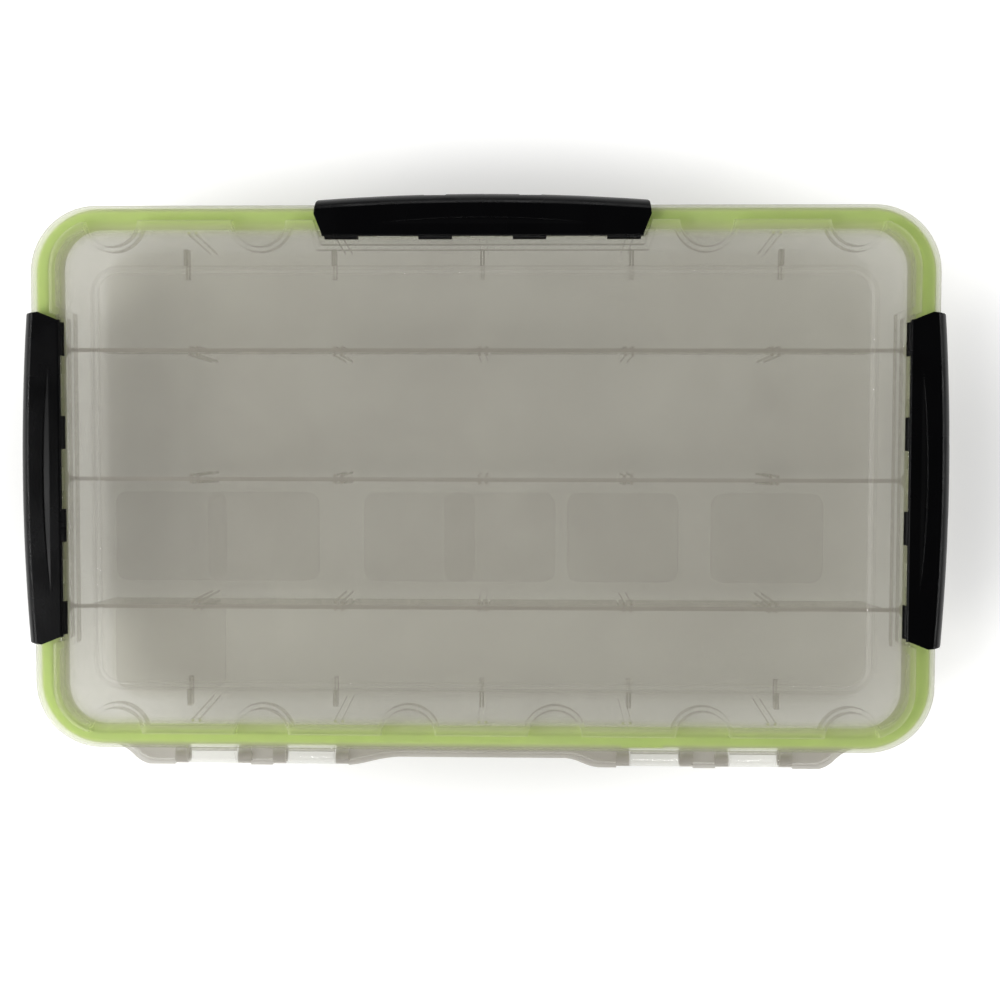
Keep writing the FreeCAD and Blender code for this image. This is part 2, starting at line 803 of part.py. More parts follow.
def add_pivots(body):
    """The bar that each latch snaps onto, carried on posts between the latch's knuckles."""
    front = s.pivot_inset - lid_edge_y
    end = lid_edge_x - s.pivot_inset
    length = s.pocket_length + 2 * s.shell_wall
    bar = new_sketch(body, "front_pivot_profile", "YZ_Plane")
    circle(bar, front, s.pivot_level, s.pivot_radius)
    pad(body, "front_pivot", bar, length, symmetric=True)
    bars = new_sketch(body, "end_pivot_profile", "XZ_Plane")
    circle(bars, -end, s.pivot_level, s.pivot_radius)
    circle(bars, end, s.pivot_level, s.pivot_radius)
    pad(body, "end_pivots", bars, length, symmetric=True)
    wide = s.pivot_radius + s.pivot_play / 2
    long = s.pivot_post_length / 2
    posts = new_sketch(body, "pivot_post_plan", "XY_Plane", s.rim_level - s.rim_thickness / 2)
    for step in (-1, 0, 1):
        place = s.knuckle_pitch * step
        rectangle(posts, place - long, place + long, front - wide, front + wide)
        rectangle(posts, end - wide, end + wide, place - long, place + long)
        rectangle(posts, -end - wide, wide - end, place - long, place + long)
    height = s.pivot_level + s.pivot_radius / 2 - s.rim_level + s.rim_thickness / 2
    pad(body, "pivot_posts", posts, height)


def add_hinge_arms(body):
    """Rear arms with a barrel and a pin at each end, which snap into the tray's clips."""
    radius = s.hinge_barrel_radius
    skirt_foot = s.tray_level + s.skirt_gap
    inner = lid_edge_y - s.skirt_wall / 2
    for i, station in enumerate(hinge_stations):
        arm = new_sketch(body, f"arm_profile_{i}", "YZ_Plane", station)
        outline(
            arm,
            [
                (inner, s.rim_level - s.rim_thickness / 2),
                (inner, skirt_foot + s.skirt_gap),
                (hinge_y - radius * (1 - ARC_MIDDLE_SHARE), s.hinge_level + radius * (1 - ARC_MIDDLE_SHARE)),
                ("via", hinge_y, s.hinge_level - radius),
                (hinge_y + radius, s.hinge_level),
                ("via", hinge_y + radius / 3, s.hinge_level + radius * 4 / 3),
                (lid_edge_y, s.rim_level - s.rim_thickness / 2),
            ],
        )
        pad(body, f"arm_{i}", arm, s.hinge_barrel_length, symmetric=True)
        pin = new_sketch(body, f"pin_profile_{i}", "YZ_Plane", station)
        circle(pin, hinge_y, s.hinge_level, s.hinge_pin_radius)
        pad(body, f"pin_{i}", pin, s.hinge_station_length - 2 * s.hinge_side_gap, symmetric=True)


def build_lid():
    body = new_body("lid")
    rim = new_sketch(body, "rim_plan", "XY_Plane", rim_under)
    rim_outline(rim, as_size(0))
    pad(body, "rim", rim, s.rim_thickness)
    skirt = new_sketch(body, "skirt_plan", "XY_Plane", rim_under)
    rim_outline(skirt, as_size(0))
    rim_outline(skirt, s.skirt_wall)
    pad(body, "skirt", skirt, rim_under - s.tray_level - s.skirt_gap, reverse=True)
    add_hinge_arms(body)
    channel = new_sketch(body, "channel_plan", "XY_Plane", rim_under)
    channel_inset = s.gasket_inset + s.gasket_width / 2 + s.gasket_play
    rim_outline(channel, channel_inset)
    rim_outline(channel, channel_inset + s.channel_wall)
    pad(body, "channel", channel, s.channel_drop, reverse=True)
    notch = new_sketch(body, "tab_notch_plan", "XY_Plane", s.tray_level)
    rectangle(
        notch,
        -s.gasket_tab_place - s.gasket_tab_length / 2 - s.gasket_play,
        -s.gasket_tab_place + s.gasket_tab_length / 2 + s.gasket_play,
        lid_edge_y - s.skirt_wall - s.overrun,
        lid_edge_y - s.gasket_tab_inset + s.gasket_play,
    )
    pocket(body, "tab_notch", notch, rim_under - s.tray_level, reverse=True)
    add_border(body)
    add_lid_ribs(body)
    add_pivots(body)
    return body


# Seal


def build_gasket():
    body = new_body("gasket")
    ring = new_sketch(body, "gasket_plan", "XY_Plane", gasket_bottom)
    rim_outline(ring, s.gasket_inset - s.gasket_width / 2)
    rim_outline(ring, s.gasket_inset + s.gasket_width / 2)
    pad(body, "ring", ring, s.gasket_height)
    tab = new_sketch(body, "tab_plan", "XY_Plane", gasket_bottom)
    rectangle(
        tab,
        -s.gasket_tab_place - s.gasket_tab_length / 2,
        -s.gasket_tab_place + s.gasket_tab_length / 2,
        lid_edge_y - s.gasket_inset,
        lid_edge_y - s.gasket_tab_inset,
    )
    pad(body, "tab", tab, s.gasket_height)
    return body


# Latch. Its frame has the pivot axis along X through the origin, -Y outward and +Z up.


def latch_section(sketch):
    """The latch's cross-section: a visor over the pivot bar, the top plate, the bulged leg and its flared foot."""
    top = s.latch_top_level - s.pivot_level
    bulge_level = s.latch_bulge_level - s.pivot_level
    waist_level = s.latch_waist_level - s.pivot_level
    foot = s.latch_bottom_level - s.pivot_level
    wall = s.latch_wall
    out = s.pivot_inset
    bulge = out + s.latch_bulge
    waist = bulge - s.latch_waist_inset
    foot_out = bulge - s.latch_foot_inset
    edge = s.latch_inner_edge_inset - s.pivot_inset + s.pivot_play
    visor = s.pivot_radius + s.visor_gap
    drop = top - bulge_level
    radius = (s.latch_bulge * s.latch_bulge + drop * drop) / (2 * s.latch_bulge)
    middle = bulge - radius
    across, up = SHOULDER_SHARES
    outline(
        sketch,
        [
            (edge, top),
            (-out, top),
            ("via", -middle - radius * across, bulge_level + radius * up),
            (-bulge, bulge_level),
            ("via", -(bulge + waist) / 2 - s.latch_leg_bow, (bulge_level + waist_level) / 2),
            (-waist, waist_level),
            ("via", -(waist + foot_out) / 2 + s.latch_leg_bow, (waist_level + foot) / 2),
            (-foot_out, foot),
            (-foot_out + wall, foot),
            (-waist + wall, waist_level),
            (-bulge + wall, bulge_level),
            ("via", -middle - (radius - wall) * across, bulge_level + (radius - wall) * up),
            (-out + wall / 4, top - wall),
            (-visor - s.pivot_play, top - wall),
            (-visor - s.pivot_play, visor),
            (edge, visor),
        ],
    )


def add_latch_webs(body):
    """Webs across the leg: two close its ends, three stiffen its middle."""
    out = s.pivot_inset
    bulge = out + s.latch_bulge
    middle_of_wall = s.latch_wall / 2
    high = s.latch_web_top_level - s.pivot_level
    step = s.latch_web_step_level - s.pivot_level
    low = s.latch_web_bottom_level - s.pivot_level
    end_place = (s.latch_length - s.latch_end_web) / 2
    places = (-end_place, -s.latch_web_pitch, as_size(0), s.latch_web_pitch, end_place)
    for i, place in enumerate(places):
        at_end = i in (0, len(places) - 1)
        sag = place * place / (2 * s.latch_bow_radius)
        reach = bulge - middle_of_wall - sag
        inner = out + s.latch_play
        inner_low = out - s.latch_end_undercut if at_end else inner
        corners = [(-inner, high)]
        if at_end:
            corners += [(-inner, step), (-inner_low, step)]
        corners += [
            (-inner_low, low),
            (-reach + middle_of_wall, low),
            (-reach + s.latch_waist_inset, s.latch_waist_level - s.pivot_level),
            (-reach, s.latch_bulge_level - s.pivot_level),
            (-reach + s.latch_foot_inset, high + middle_of_wall),
        ]
        web = new_sketch(body, f"web_profile_{i}", "YZ_Plane", place)
        outline(web, corners)
        pad(body, f"web_{i}", web, s.latch_end_web if at_end else s.latch_web, symmetric=True)


def add_latch_hooks(body):
    """Hooks inside the leg that snap under the tray's catches."""
    out = s.pivot_inset
    bulge = out + s.latch_bulge
    slope = s.catch_slope_rise / s.flange_lip_wall
    lip_out = out - s.flange_gap
    lip_foot = flange_under - s.catch_drop - s.pivot_level
    nose = lip_out - s.hook_reach
    hook_top = lip_foot - s.hook_gap
    hook_foot = hook_top - s.hook_height
    for name, side in (("low", -1), ("high", 1)):
        hook = new_sketch(body, f"hook_profile_{name}", "YZ_Plane", s.catch_place * side)
        outline(
            hook,
            [
                (-nose, hook_top - slope * s.hook_reach),
                (-lip_out - s.flange_gap, hook_top + slope * s.flange_gap),
                (-bulge + s.latch_bulge * HOOK_ROOT_SHARES[0], hook_top + slope * s.flange_gap),
                (-bulge + s.latch_bulge * HOOK_ROOT_SHARES[1], hook_foot),
                (-lip_out, hook_foot),
                (-nose, hook_foot + s.hook_height / 4),
            ],
        )
        pad(body, f"hook_{name}", hook, s.hook_length, symmetric=True)


def trim_latch(body):
    """Cuts the shell to its plan: slanted ends, rounded outer corners and a straight inner edge."""
    top = s.latch_top_level - s.pivot_level
    foot = s.latch_bottom_level - s.pivot_level
    bulge = s.pivot_inset + s.latch_bulge
    half = s.latch_length / 2
    plan = new_sketch(body, "plan", "XY_Plane", top + s.overrun)
    far = s.latch_length
    rectangle(plan, -far, far, -far, far)
    inner_half = s.latch_inner_length / 2
    shoulder = s.pivot_inset - s.latch_shoulder_inset
    tip = half - s.latch_end_taper
    corner = s.latch_end_corner
    flat = tip - corner
    outer_y = bulge - flat * flat / (2 * s.latch_bow_radius)
    share = ARC_MIDDLE_SHARE
    outline(
        plan,
        [
            (-inner_half, s.pocket_wall_inset),
            (-inner_half, s.pivot_play),
            (-half, -shoulder),
            (-tip, -outer_y + corner),
            ("via", -tip + corner * share, -outer_y + corner * share),
            (-flat, -outer_y),
            (-flat, -bulge - s.overrun),
            (flat, -bulge - s.overrun),
            (flat, -outer_y),
            ("via", tip - corner * share, -outer_y + corner * share),
            (tip, -outer_y + corner),
            (half, -shoulder),
            (inner_half, s.pivot_play),
            (inner_half, s.pocket_wall_inset),
        ],
    )
    pocket(body, "plan_trim", plan, top - foot + 2 * s.overrun)
    edge = s.latch_inner_edge_inset - s.pivot_inset
    round_off = s.latch_edge_round
    inner_trim = new_sketch(body, "inner_trim_profile", "YZ_Plane")
    outline(
        inner_trim,
        [
            (edge, -s.overrun),
            (edge, top - round_off),
            ("via", edge - round_off * share, top - round_off * share),
            (edge - round_off, top),
            (edge - round_off, top + s.overrun),
            (s.pocket_wall_inset, top + s.overrun),
            (s.pocket_wall_inset, -s.overrun),
        ],
    )
    pocket(body, "inner_trim", inner_trim, s.latch_length + s.overrun, symmetric=True)
    relief = s.pivot_radius + s.pivot_play
    bar_relief = new_sketch(body, "bar_relief_profile", "YZ_Plane")
    rectangle(bar_relief, -relief - s.pivot_play, edge + s.overrun, -s.overrun, relief)
    pocket(body, "bar_relief", bar_relief, s.latch_length + s.overrun, symmetric=True)


def add_knuckles(body):
    """Knuckles that snap over the pivot bar from above."""
    top = s.latch_top_level - s.pivot_level
    bore_radius = s.pivot_radius + s.pivot_play
    knuckle_radius = bore_radius + s.knuckle_wall
    slant = 1 - ARC_MIDDLE_SHARE
    for i, step in enumerate((-1.5, -0.5, 0.5, 1.5)):
        knuckle = new_sketch(body, f"knuckle_profile_{i}", "YZ_Plane", s.knuckle_pitch * step)
        outline(
            knuckle,
            [
                (0, knuckle_radius),
                ("via", knuckle_radius, 0),
                (0, -knuckle_radius),
                ("via", -knuckle_radius * slant, -knuckle_radius * slant),
                (-knuckle_radius, 0),
                (-knuckle_radius, top - s.latch_wall / 4),
                (0, top - s.latch_wall / 4),
            ],
        )
        pad(body, f"knuckle_{i}", knuckle, s.knuckle_length, symmetric=True)
    bore = new_sketch(body, "bore_profile", "YZ_Plane")
    circle(bore, 0, 0, bore_radius)
    pocket(body, "bore", bore, s.latch_length, symmetric=True)
    mouth = new_sketch(body, "mouth_profile", "YZ_Plane")
    rectangle(mouth, -s.knuckle_mouth / 2, s.knuckle_mouth / 2, -knuckle_radius - s.overrun, 0)
    pocket(body, "mouth", mouth, s.latch_length, symmetric=True)


def add_grip(body):
    """The crescent hollow for a fingertip in the top face, and two notches in the outer edge."""
    top = s.latch_top_level - s.pivot_level
    foot = s.latch_bottom_level - s.pivot_level
    bulge = s.pivot_inset + s.latch_bulge
    crescent = new_sketch(body, "crescent_plan", "XY_Plane", top)
    chord = s.latch_crescent_inset - s.pivot_inset
    tilt = s.latch_crescent_tilt_degrees
    crescent.AttachmentOffset = Placement(Vector(0, chord.value, top.value), Rotation(Vector(1, 0, 0), tilt.value))
    crescent.setExpression("AttachmentOffset.Base.y", chord.text)
    crescent.setExpression("AttachmentOffset.Rotation.Angle", f"{tilt.text} * 1 deg")
    half = s.latch_crescent_length / 2
    outline(crescent, [(-half, 0), ("via", 0, -s.latch_crescent_width), (half, 0)])
    pocket(body, "crescent", crescent, s.overrun, reverse=True)
    grips = new_sketch(body, "grip_plan", "XY_Plane", top)
    slant = s.latch_grip_depth
    half = s.latch_grip_length / 2
    for side in (-1, 1):
        middle = s.latch_grip_place * side
        outline(
            grips,
            [
                (middle - half - slant, -bulge - s.overrun),
                (middle + half + slant, -bulge - s.overrun),
                (middle + half - slant, -bulge + slant),
                (middle - half + slant, -bulge + slant),
            ],
        )
    pocket(body, "grips", grips, top - foot + s.overrun)


def build_latch_shape(body):
    section = new_sketch(body, "section", "YZ_Plane")
    latch_section(section)
    axis_y = s.latch_bow_radius - s.pivot_inset - s.latch_bulge
    line = section.addGeometry(
        Part.LineSegment(Vector(axis_y.value, 0, 0), Vector(axis_y.value, s.overrun.value, 0)), True
    )
    constraints = []
    texts = []
    bind_point(section, constraints, texts, line, 1, axis_y, 0)
    bind_point(section, constraints, texts, line, 2, axis_y, s.overrun)
    add_bound(section, constraints, texts)
    turned = body.newObject("PartDesign::Revolution", "bowed_shell")
    turned.Profile = section
    turned.ReferenceAxis = (section, ["Axis0"])
    turned.Midplane = True
    reach = s.latch_length / 2 + s.overrun
    turned.Angle = 2 * math.degrees(math.asin(reach.value / SIZES["latch_bow_radius"]))
    turned.setExpression("Angle", f"2 * asin({reach.text} / sizes.latch_bow_radius)")
    finish_feature(body, turned, True)
    add_latch_webs(body)
    add_latch_hooks(body)
    trim_latch(body)
    add_knuckles(body)
    add_grip(body)


def build_latches():
    """The front latch is modelled, and the two end latches are clones of it in their own places."""
    bodies = []
    for label, turn in LATCH_TURNS.items():
        body = new_body(label)
        if bodies:
            clone = doc.addObject("PartDesign::FeatureBase", f"{label}_shape")
            body.Group = [clone]
            clone.BaseFeature = bodies[0]
            clone.Placement = Placement()
            body.Tip = clone
        else:
            build_latch_shape(body)
        edge = lid_edge_x if turn else lid_edge_y
        reach = edge - s.pivot_inset
        place = {"x": as_size(0), "y": as_size(0), "z": s.pivot_level}
        if turn > 0:
            place["x"] = reach
        elif turn < 0:
            place["x"] = -reach
        else:
            place["y"] = -reach
        spot = Vector(place["x"].value, place["y"].value, place["z"].value)
        body.Placement = Placement(spot, Rotation(Vector(0, 0, 1), turn))
        for axis, size in place.items():
            body.setExpression(f"Placement.Base.{axis}", size.text)
        bodies.append(body)
    return bodies


# Loose cross dividers, lying flat on the floor of the rear rows

# Each place is a share of half the tray's length, the row it lies in, a turn in degrees, and the side it leans up on.
DIVIDER_PLACE_SHARES = (
    (0.816, 2, 0.0, 0),
    (0.574, 2, 0.0, 1),
    (0.171, 2, 0.0, -1),
    (-0.036, 2, 0.0, 0),
    (-0.352, 2, 0.0, 0),
    (-0.722, 2, 0.0, 0),
    (0.82, 3, 0.0, 0),
)


def build_divider(index, share, row, turn, lean):
    body = new_body(f"divider_{index}")
    plan = new_sketch(body, "plate_plan", "XY_Plane")
    centred(plan, s.divider_length, s.divider_height, s.divider_corner)
    pad(body, "plate", plan, s.divider_thickness)
    x = s.tray_length / 2 * share
    row_middle = {2: s.partition_pitch / 2, 3: (s.partition_pitch + s.tray_width / 2) / 2 - s.loose_gap * 11}[row]
    lift = s.tray_floor + s.loose_gap
    tilt = 0.0
    if lean:
        raised = s.divider_thickness + s.loose_gap
        tilt = math.degrees(math.asin(raised.value / (s.divider_length.value * 0.78)))
        lift = lift + raised * 0.66
    body.Placement = Placement(
        Vector(x.value, row_middle.value, lift.value), Rotation(Vector(0, 1, 0), -tilt * lean)
    )
    for axis, size in (("x", x), ("y", row_middle), ("z", lift)):
        body.setExpression(f"Placement.Base.{axis}", size.text)
    return body


def check_and_export(bodies):
    doc.recompute()
    for thing in doc.Objects:
        bad = [state for state in thing.State if state in ("Invalid", "Error")]
        if bad:
            raise RuntimeError(f"{thing.Name} is {bad}")
    for body in bodies:
        shape = body.Shape
        if shape.isNull() or not shape.isValid() or len(shape.Solids) != 1:
            raise RuntimeError(f"{body.Label} has no valid single solid")
    os.makedirs("parts", exist_ok=True)
    for body in bodies:
        body.Shape.exportStep(os.path.join("parts", f"{body.Label}.step"))
        print(body.Label, round(body.Shape.Volume / 1000, 2), "cm3", len(body.Shape.Faces), "faces")


def main():
    fill_sheet()
    bodies = [build_tray(), build_lid(), build_gasket()]
    bodies += build_latches()
    for index, place in enumerate(DIVIDER_PLACE_SHARES, start=1):
        bodies.append(build_divider(index, *place))
    check_and_export(bodies)


main()
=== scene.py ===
"""Finishes, stage and camera for a see-through waterproof tackle tray with a lime seal and black latches."""

import math

import bpy
from bpy.props import FloatProperty, FloatVectorProperty, PointerProperty
from bpy.types import Operator, Panel, PropertyGroup
from mathutils import Euler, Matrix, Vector


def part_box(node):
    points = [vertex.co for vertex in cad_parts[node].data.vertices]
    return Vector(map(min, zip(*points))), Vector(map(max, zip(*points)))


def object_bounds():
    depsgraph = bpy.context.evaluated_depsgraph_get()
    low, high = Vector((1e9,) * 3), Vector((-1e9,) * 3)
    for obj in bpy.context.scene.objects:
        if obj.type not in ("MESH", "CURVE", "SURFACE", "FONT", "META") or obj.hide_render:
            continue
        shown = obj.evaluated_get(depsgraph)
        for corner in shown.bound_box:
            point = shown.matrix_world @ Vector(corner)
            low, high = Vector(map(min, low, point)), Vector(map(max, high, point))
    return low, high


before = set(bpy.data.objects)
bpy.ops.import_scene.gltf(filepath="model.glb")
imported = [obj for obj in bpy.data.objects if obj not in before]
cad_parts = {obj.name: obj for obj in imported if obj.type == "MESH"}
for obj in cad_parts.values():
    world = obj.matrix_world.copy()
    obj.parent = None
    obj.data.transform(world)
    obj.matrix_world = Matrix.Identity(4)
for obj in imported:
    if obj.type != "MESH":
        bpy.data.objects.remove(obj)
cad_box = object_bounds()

bl_info = {
    "name": "Tackle Tray",
    "version": (1, 0, 0),
    "blender": (4, 5, 0),
    "location": "View3D > Sidebar > Tackle Tray",
    "description": "Finishes and stages a see-through tackle tray",
    "category": "Object",
}

MM = 0.001
WHITE = (1, 1, 1, 1)
POLYPROPYLENE_IOR = 1.49

# The seal's width, and the radius of its corners along its middle line.
SEAL_WIDTH = 2.8 * MM
SEAL_CORNER = 22.3 * MM
# How many times sooner the painted lime glow of the seal's light fades towards the rim than towards the middle.
RIM_FADE = 2.2
# The least upward part of a normal that counts as facing up.
FACING_UP = 0.7

# How far the floor lies below the object, so that the two don't share a plane.
FLOOR_GAP = 0.2 * MM
# Distances from the middle at which the floor's lift to white starts to grow and is full, in metres. The object is
# longer than it is deep, so depth counts for more.
LIFT_START = 0.175
LIFT_FULL = 0.32
LIFT_STRETCH = (1.0, 1.6, 0.0)

LAMP_TARGET = (0, 0, 0.03)
# Name, place, width and height in metres, and power in watts. The strips are narrow and bright, for glints along
# edges and steps.
LAMPS = (
    ("window_left", (0.95, 0.35, 1.05), 0.8, 0.55, 11),
    ("strip_left", (1.5, 0.0, 0.5), 1.2, 0.04, 8),
    ("strip_right", (-1.5, -0.2, 0.5), 1.2, 0.04, 5),
    ("strip_front", (-0.1, -1.5, 0.6), 0.9, 0.04, 3),
    ("strip_rear", (-0.1, 1.5, 0.6), 0.9, 0.04, 4),
)

DIVIDERS = sorted(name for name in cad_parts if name.startswith("divider_"))
LATCHES = sorted(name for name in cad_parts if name.startswith("latch_"))


# Colours and nodes


def linear(code):
    """Turns an sRGB hex colour into the linear values that shaders take."""
    parts = [int(code[i : i + 2], 16) / 255 for i in (1, 3, 5)]
    return tuple(c / 12.92 if c <= 0.04045 else ((c + 0.055) / 1.055) ** 2.4 for c in parts)


def add_node(tree, kind, settings=None, **inputs):
    """Adds a node, sets its own settings, and sets or links its inputs by socket name or number."""
    node = tree.nodes.new(kind)
    for name, value in (settings or {}).items():
        setattr(node, name, value)
    for name, value in inputs.items():
        key = int(name[1:]) if name[0] == "i" and name[1:].isdigit() else name.replace("_", " ")
        if isinstance(value, bpy.types.NodeSocket):
            tree.links.new(value, node.inputs[key])
        else:
            node.inputs[key].default_value = value
    return node


def per_metre(millimetres):
    """The pattern scale at which one feature is this wide."""
    return 1000 / millimetres


def new_material(name):
    """A new material that holds only its output node."""
    material = bpy.data.materials.new(name)
    material.use_nodes = True
    tree = material.node_tree
    tree.nodes.clear()
    output = add_node(tree, "ShaderNodeOutputMaterial")
    return material, tree, output


def wear_material(node, material):
    """Gives a CAD node's own slots a finished material."""
    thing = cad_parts[node]
    if not thing.material_slots:
        raise RuntimeError(f"{node} has no material slot")
    for slot in thing.material_slots:
        slot.material = material


# Materials


def seal_glow_mask(tree, place, reach):
    """How near a point is to the seal's line: 1 on the line, fading to 0 at the reach. This is the mask of the painted
    glow of the seal's light.
    """
    low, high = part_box("gasket")
    # Half of each straight side of the seal's middle line. The depth is read at the front, because the tab sticks
    # out at the rear.
    straight_x = high[0] - SEAL_WIDTH / 2 - SEAL_CORNER
    straight_y = -low[1] - SEAL_WIDTH / 2 - SEAL_CORNER
    flat = add_node(tree, "ShaderNodeVectorMath", {"operation": "MULTIPLY"}, i0=place, i1=(1, 1, 0))
    folded = add_node(tree, "ShaderNodeVectorMath", {"operation": "ABSOLUTE"}, i0=flat.outputs[0])
    past = add_node(
        tree, "ShaderNodeVectorMath", {"operation": "SUBTRACT"}, i0=folded.outputs[0], i1=(straight_x, straight_y, 0)
    )
    outside = add_node(tree, "ShaderNodeVectorMath", {"operation": "MAXIMUM"}, i0=past.outputs[0], i1=(0, 0, 0))
    round_part = add_node(tree, "ShaderNodeVectorMath", {"operation": "LENGTH"}, i0=outside.outputs[0])
    sides = add_node(tree, "ShaderNodeSeparateXYZ", Vector=past.outputs[0])
    nearer = add_node(
        tree, "ShaderNodeMath", {"operation": "MAXIMUM"}, i0=sides.outputs["X"], i1=sides.outputs["Y"]
    )
    inside = add_node(tree, "ShaderNodeMath", {"operation": "MINIMUM"}, i0=nearer.outputs[0], i1=0.0)
    whole = add_node(
        tree, "ShaderNodeMath", {"operation": "ADD"}, i0=round_part.outputs["Value"], i1=inside.outputs[0]
    )
    off = add_node(tree, "ShaderNodeMath", {"operation": "SUBTRACT"}, i0=whole.outputs[0], i1=SEAL_CORNER)
    # Outside the seal the rim is thin and clear, so the painted glow fades sooner there.
    inward = add_node(tree, "ShaderNodeMath", {"operation": "MULTIPLY"}, i0=off.outputs[0], i1=-1.0)
    outward = add_node(tree, "ShaderNodeMath", {"operation": "MULTIPLY"}, i0=off.outputs[0], i1=RIM_FADE)
    distance = add_node(
        tree, "ShaderNodeMath", {"operation": "MAXIMUM"}, i0=inward.outputs[0], i1=outward.outputs[0]
    )
    near = add_node(
        tree,
        "ShaderNodeMapRange",
        {"interpolation_type": "SMOOTHSTEP"},
        Value=distance.outputs[0],
        From_Min=SEAL_WIDTH / 3,
        From_Max=reach,
        To_Min=1.0,
        To_Max=0.0,
    )
    # Walls far below the seal stay neutral, without the painted glow.
    height = add_node(tree, "ShaderNodeSeparateXYZ", Vector=place).outputs["Z"]
    level = add_node(
        tree,
        "ShaderNodeMapRange",
        {"interpolation_type": "SMOOTHSTEP"},
        Value=height,
        From_Min=low[2] - reach,
        From_Max=low[2],
    )
    both = add_node(tree, "ShaderNodeMath", {"operation": "MULTIPLY"}, i0=near.outputs[0], i1=level.outputs[0])
    return both.outputs[0]


def rounded_edges(tree, normal, radius, painted_edge_light):
    """The normal with its edges rounded, and the extra haze along them that paints a pale line of gathered light."""
    rounded = add_node(tree, "ShaderNodeBevel", {"samples": 2}, Radius=radius).outputs[0]
    # A broken edge gathers the light inside the skin and shows as a thin pale line, painted here as extra haze.
    turned = add_node(tree, "ShaderNodeVectorMath", {"operation": "DOT_PRODUCT"}, i0=rounded, i1=normal)
    edge = add_node(
        tree,
        "ShaderNodeMapRange",
        Value=turned.outputs["Value"],
        From_Min=0.97,
        From_Max=0.80,
        To_Min=0.0,
        To_Max=painted_edge_light,
    )
    return rounded, edge.outputs[0]


def milk_share(tree, own, milk, place, upright, top_level, edge, near):
    """How much of a skin is haze: more at a slant and on wall tops, plus a painted pale line on broken edges and a
    painted lime glow of the seal's light beside the seal.
    """
    # Slow streaks where the melt flowed into the mould.
    flow = add_node(tree, "ShaderNodeTexNoise", Vector=place, Scale=per_metre(55), Detail=1.0, Distortion=0.8)
    flow_share = add_node(
        tree, "ShaderNodeMapRange", Value=flow.outputs["Fac"], From_Min=0.3, From_Max=0.7, To_Min=0.88, To_Max=1.12
    )
    facing = add_node(tree, "ShaderNodeLayerWeight", Blend=0.5).outputs["Facing"]
    slant = add_node(tree, "ShaderNodeMath", {"operation": "POWER"}, i0=facing, i1=own.milk_curve)
    haze = add_node(
        tree, "ShaderNodeMapRange", Value=slant.outputs[0], To_Min=milk, To_Max=own.milk_edge
    ).outputs[0]
    # Painted pale line of gathered light along the broken edges.
    if edge:
        haze = add_node(tree, "ShaderNodeMath", {"operation": "ADD"}, i0=haze, i1=edge).outputs[0]
    if top_level:
        # Tops of walls and partitions, where the eye looks down through the whole wall.
        height = add_node(tree, "ShaderNodeSeparateXYZ", Vector=place).outputs["Z"]
        high = add_node(tree, "ShaderNodeMath", {"operation": "GREATER_THAN"}, i0=height, i1=top_level)
        facing_up = add_node(tree, "ShaderNodeMath", {"operation": "GREATER_THAN"}, i0=upright, i1=FACING_UP)
        top = add_node(tree, "ShaderNodeMath", {"operation": "MULTIPLY"}, i0=high.outputs[0], i1=facing_up.outputs[0])
        haze = add_node(
            tree, "ShaderNodeMath", {"operation": "MULTIPLY_ADD"}, i0=top.outputs[0], i1=own.top_milk, i2=haze
        ).outputs[0]
    haze = add_node(tree, "ShaderNodeMath", {"operation": "MULTIPLY"}, i0=haze, i1=flow_share.outputs[0]).outputs[0]
    # Painted glow: more haze beside the seal, in its lime, stands in for the seal's light scattered in the milk.
    haze = add_node(
        tree, "ShaderNodeMath", {"operation": "MULTIPLY_ADD", "use_clamp": True}, i0=near, i1=own.glow_milk, i2=haze
    ).outputs[0]
    # Milk scatters light onwards more than back, so it throws a lighter shadow than its haze.
    shaded = add_node(tree, "ShaderNodeLightPath").outputs["Is Shadow Ray"]
    kept = add_node(tree, "ShaderNodeMapRange", Value=shaded, To_Min=1.0, To_Max=own.shadow_share)
    return add_node(tree, "ShaderNodeMath", {"operation": "MULTIPLY"}, i0=haze, i1=kept.outputs[0]).outputs[0]


def open_gloss(tree, normal, upright, gloss_share):
    """How much of a skin mirrors its surroundings."""
    sheen = add_node(tree, "ShaderNodeFresnel", IOR=POLYPROPYLENE_IOR, Normal=normal)
    # Skins that lie close together mirror one another, and only a share of their gloss gets out.
    level = add_node(tree, "ShaderNodeMath", {"operation": "ABSOLUTE"}, i0=upright)
    open_share = add_node(
        tree,
        "ShaderNodeMapRange",
        Value=level.outputs[0],
        From_Max=0.5,
        To_Min=gloss_share * 0.6,
        To_Max=gloss_share,
    )
    # The far side of a skin would turn into a full mirror at a slant, so only the near side is glossy.
    far_side = add_node(tree, "ShaderNodeNewGeometry").outputs["Backfacing"]
    near_side = add_node(tree, "ShaderNodeMath", {"operation": "SUBTRACT"}, i0=1.0, i1=far_side)
    near_sheen = add_node(
        tree, "ShaderNodeMath", {"operation": "MULTIPLY"}, i0=sheen.outputs[0], i1=near_side.outputs[0]
    )
    share = add_node(
        tree, "ShaderNodeMath", {"operation": "MULTIPLY"}, i0=near_sheen.outputs[0], i1=open_share.outputs[0]
    )
    return share.outputs[0]


